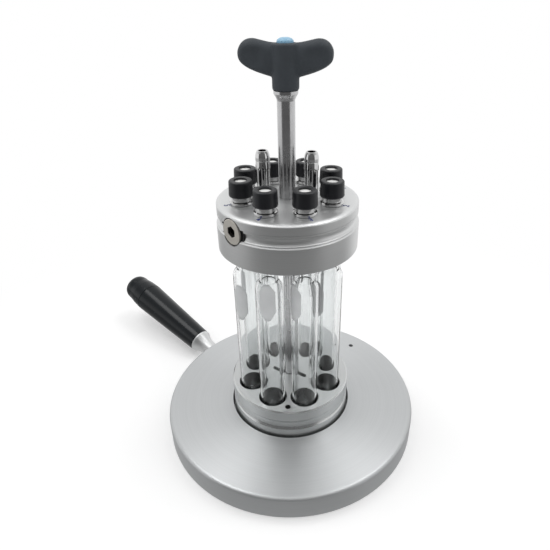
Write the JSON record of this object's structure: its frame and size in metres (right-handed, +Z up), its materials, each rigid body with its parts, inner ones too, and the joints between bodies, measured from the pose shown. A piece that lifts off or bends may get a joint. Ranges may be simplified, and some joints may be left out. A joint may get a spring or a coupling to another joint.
{
  "type": "parallel reaction station",
  "caption": "Round hotplate base and heating block with glass tubes in a water-cooled, gas-fed head that a T-handled shaft locks and lifts; screw caps with septa, hose tails, side grip.",
  "frame": {"origin": "centre of the base plate's underside, on the surface it stands on", "axes": "+Z up along the shaft; +X to the picture's right; -Y is the front, the picture's side"},
  "size_m": [0.2316, 0.2182, 0.2449],
  "materials": {
    "base_aluminium": "turned and bead-dull, pale",
    "block_aluminium": "turned",
    "head_aluminium": "fine satin anodised",
    "polished_steel": "polished stainless steel",
    "fastener_steel": "plain steel",
    "plug_steel": "turned steel",
    "borosilicate_glass": "clear drawn tube",
    "cap_phenolic": "moulded, satin",
    "septum_silicone": "moulded, matt",
    "seal_rubber": "moulded",
    "ptfe": "machined, waxy",
    "tee_nylon": "moulded, fine grain",
    "pale_blue_plastic": "moulded, glossy",
    "grip_plastic": "moulded, smooth"
  },
  "bodies": {
    "base": {"base_plate": "base_aluminium", "handle_spindle": "polished_steel", "grip_washer": "fastener_steel", "grip_screw": "fastener_steel"},
    "grip": {"handle_grip": "grip_plastic", "handle_end_cap": "grip_plastic"},
    "block": {"heating_block": "block_aluminium"},
    "head": {"head_jacket": "head_aluminium", "gas_manifold": "head_aluminium", "head_cover": "head_aluminium", "head_screws": "fastener_steel", "jacket_seals": "seal_rubber", "manifold_seals": "seal_rubber", "tube_seals": "ptfe", "shaft_bush": "ptfe", "water_inlet": "polished_steel", "water_outlet": "polished_steel", "tube_1": "borosilicate_glass", "tube_2": "borosilicate_glass", "tube_3": "borosilicate_glass", "tube_4": "borosilicate_glass", "tube_5": "borosilicate_glass", "tube_6": "borosilicate_glass", "tube_7": "borosilicate_glass", "tube_8": "borosilicate_glass", "port_1": "polished_steel", "port_2": "polished_steel", "port_3": "polished_steel", "port_4": "polished_steel", "port_5": "polished_steel", "port_6": "polished_steel", "port_7": "polished_steel", "port_8": "polished_steel"},
    "lock": {"lift_shaft": "polished_steel", "cross_pin": "fastener_steel", "shaft_circlip": "fastener_steel", "tee_handle": "tee_nylon", "tee_insert": "polished_steel", "tee_cap": "pale_blue_plastic"},
    "plug_seat": {"plug_seal": "seal_rubber"},
    "plug": {"gas_plug": "plug_steel"},
    "septum_1_seat": {"septum_1": "septum_silicone"},
    "cap_1_shell": {"cap_1": "cap_phenolic"},
    "septum_2_seat": {"septum_2": "septum_silicone"},
    "cap_2_shell": {"cap_2": "cap_phenolic"},
    "septum_3_seat": {"septum_3": "septum_silicone"},
    "cap_3_shell": {"cap_3": "cap_phenolic"},
    "septum_4_seat": {"septum_4": "septum_silicone"},
    "cap_4_shell": {"cap_4": "cap_phenolic"},
    "septum_5_seat": {"septum_5": "septum_silicone"},
    "cap_5_shell": {"cap_5": "cap_phenolic"},
    "septum_6_seat": {"septum_6": "septum_silicone"},
    "cap_6_shell": {"cap_6": "cap_phenolic"},
    "septum_7_seat": {"septum_7": "septum_silicone"},
    "cap_7_shell": {"cap_7": "cap_phenolic"},
    "septum_8_seat": {"septum_8": "septum_silicone"},
    "cap_8_shell": {"cap_8": "cap_phenolic"}
  },
  "joints": [
    {"name": "block_lift", "type": "slide", "parent": "base", "child": "block", "axis": [0, 0, 1], "range_m": [0, 0.03]},
    {"name": "head_lift", "type": "slide", "parent": "block", "child": "head", "axis": [0, 0, 1], "range_m": [0, 0.06]},
    {"name": "lock_turn", "type": "hinge", "parent": "head", "child": "lock", "pos_m": [0, 0, 0.164], "axis": [0, 0, -1], "range_deg": [0, 90]},
    {"name": "grip_turn", "type": "hinge", "parent": "base", "child": "grip", "pos_m": [-0.06138, 0.05527, 0.0083], "axis": [-0.7277, 0.6552, 0.2028], "continuous": true},
    {"name": "plug_out", "type": "slide", "parent": "head", "child": "plug_seat", "axis": [-0.742, -0.6704, 0], "range_m": [0, 0.004]},
    {"name": "plug_turn", "type": "hinge", "parent": "plug_seat", "child": "plug", "pos_m": [-0.0282, -0.02548, 0.15505], "axis": [-0.742, -0.6704, 0], "range_deg": [0, 1801]},
    {"name": "cap_1_rise", "type": "slide", "parent": "head", "child": "septum_1_seat", "axis": [0, 0, 1], "range_m": [0, 0.006]},
    {"name": "cap_1_turn", "type": "hinge", "parent": "septum_1_seat", "child": "cap_1_shell", "pos_m": [0.02497, 0.00889, 0.1743], "axis": [0, 0, 1], "range_deg": [0, 1081]},
    {"name": "cap_2_rise", "type": "slide", "parent": "head", "child": "septum_2_seat", "axis": [0, 0, 1], "range_m": [0, 0.006]},
    {"name": "cap_2_turn", "type": "hinge", "parent": "septum_2_seat", "child": "cap_2_shell", "pos_m": [0.02394, -0.01137, 0.1743], "axis": [0, 0, 1], "range_deg": [0, 1081]},
    {"name": "cap_3_rise", "type": "slide", "parent": "head", "child": "septum_3_seat", "axis": [0, 0, 1], "range_m": [0, 0.006]},
    {"name": "cap_3_turn", "type": "hinge", "parent": "septum_3_seat", "child": "cap_3_shell", "pos_m": [0.00889, -0.02497, 0.1743], "axis": [0, 0, 1], "range_deg": [0, 1081]},
    {"name": "cap_4_rise", "type": "slide", "parent": "head", "child": "septum_4_seat", "axis": [0, 0, 1], "range_m": [0, 0.006]},
    {"name": "cap_4_turn", "type": "hinge", "parent": "septum_4_seat", "child": "cap_4_shell", "pos_m": [-0.01137, -0.02394, 0.1743], "axis": [0, 0, 1], "range_deg": [0, 1081]},
    {"name": "cap_5_rise", "type": "slide", "parent": "head", "child": "septum_5_seat", "axis": [0, 0, 1], "range_m": [0, 0.006]},
    {"name": "cap_5_turn", "type": "hinge", "parent": "septum_5_seat", "child": "cap_5_shell", "pos_m": [-0.02497, -0.00889, 0.1743], "axis": [0, 0, 1], "range_deg": [0, 1081]},
    {"name": "cap_6_rise", "type": "slide", "parent": "head", "child": "septum_6_seat", "axis": [0, 0, 1], "range_m": [0, 0.006]},
    {"name": "cap_6_turn", "type": "hinge", "parent": "septum_6_seat", "child": "cap_6_shell", "pos_m": [-0.02394, 0.01137, 0.1743], "axis": [0, 0, 1], "range_deg": [0, 1081]},
    {"name": "cap_7_rise", "type": "slide", "parent": "head", "child": "septum_7_seat", "axis": [0, 0, 1], "range_m": [0, 0.006]},
    {"name": "cap_7_turn", "type": "hinge", "parent": "septum_7_seat", "child": "cap_7_shell", "pos_m": [-0.00889, 0.02497, 0.1743], "axis": [0, 0, 1], "range_deg": [0, 1081]},
    {"name": "cap_8_rise", "type": "slide", "parent": "head", "child": "septum_8_seat", "axis": [0, 0, 1], "range_m": [0, 0.006]},
    {"name": "cap_8_turn", "type": "hinge", "parent": "septum_8_seat", "child": "cap_8_shell", "pos_m": [0.01137, 0.02394, 0.1743], "axis": [0, 0, 1], "range_deg": [0, 1081]}
  ],
  "couplings": [
    {"joint": "plug_turn", "follows": "plug_out", "rad_per_m": 7854},
    {"joint": "cap_1_turn", "follows": "cap_1_rise", "rad_per_m": 3141.6},
    {"joint": "cap_2_turn", "follows": "cap_2_rise", "rad_per_m": 3141.6},
    {"joint": "cap_3_turn", "follows": "cap_3_rise", "rad_per_m": 3141.6},
    {"joint": "cap_4_turn", "follows": "cap_4_rise", "rad_per_m": 3141.6},
    {"joint": "cap_5_turn", "follows": "cap_5_rise", "rad_per_m": 3141.6},
    {"joint": "cap_6_turn", "follows": "cap_6_rise", "rad_per_m": 3141.6},
    {"joint": "cap_7_turn", "follows": "cap_7_rise", "rad_per_m": 3141.6},
    {"joint": "cap_8_turn", "follows": "cap_8_rise", "rad_per_m": 3141.6}
  ]
}
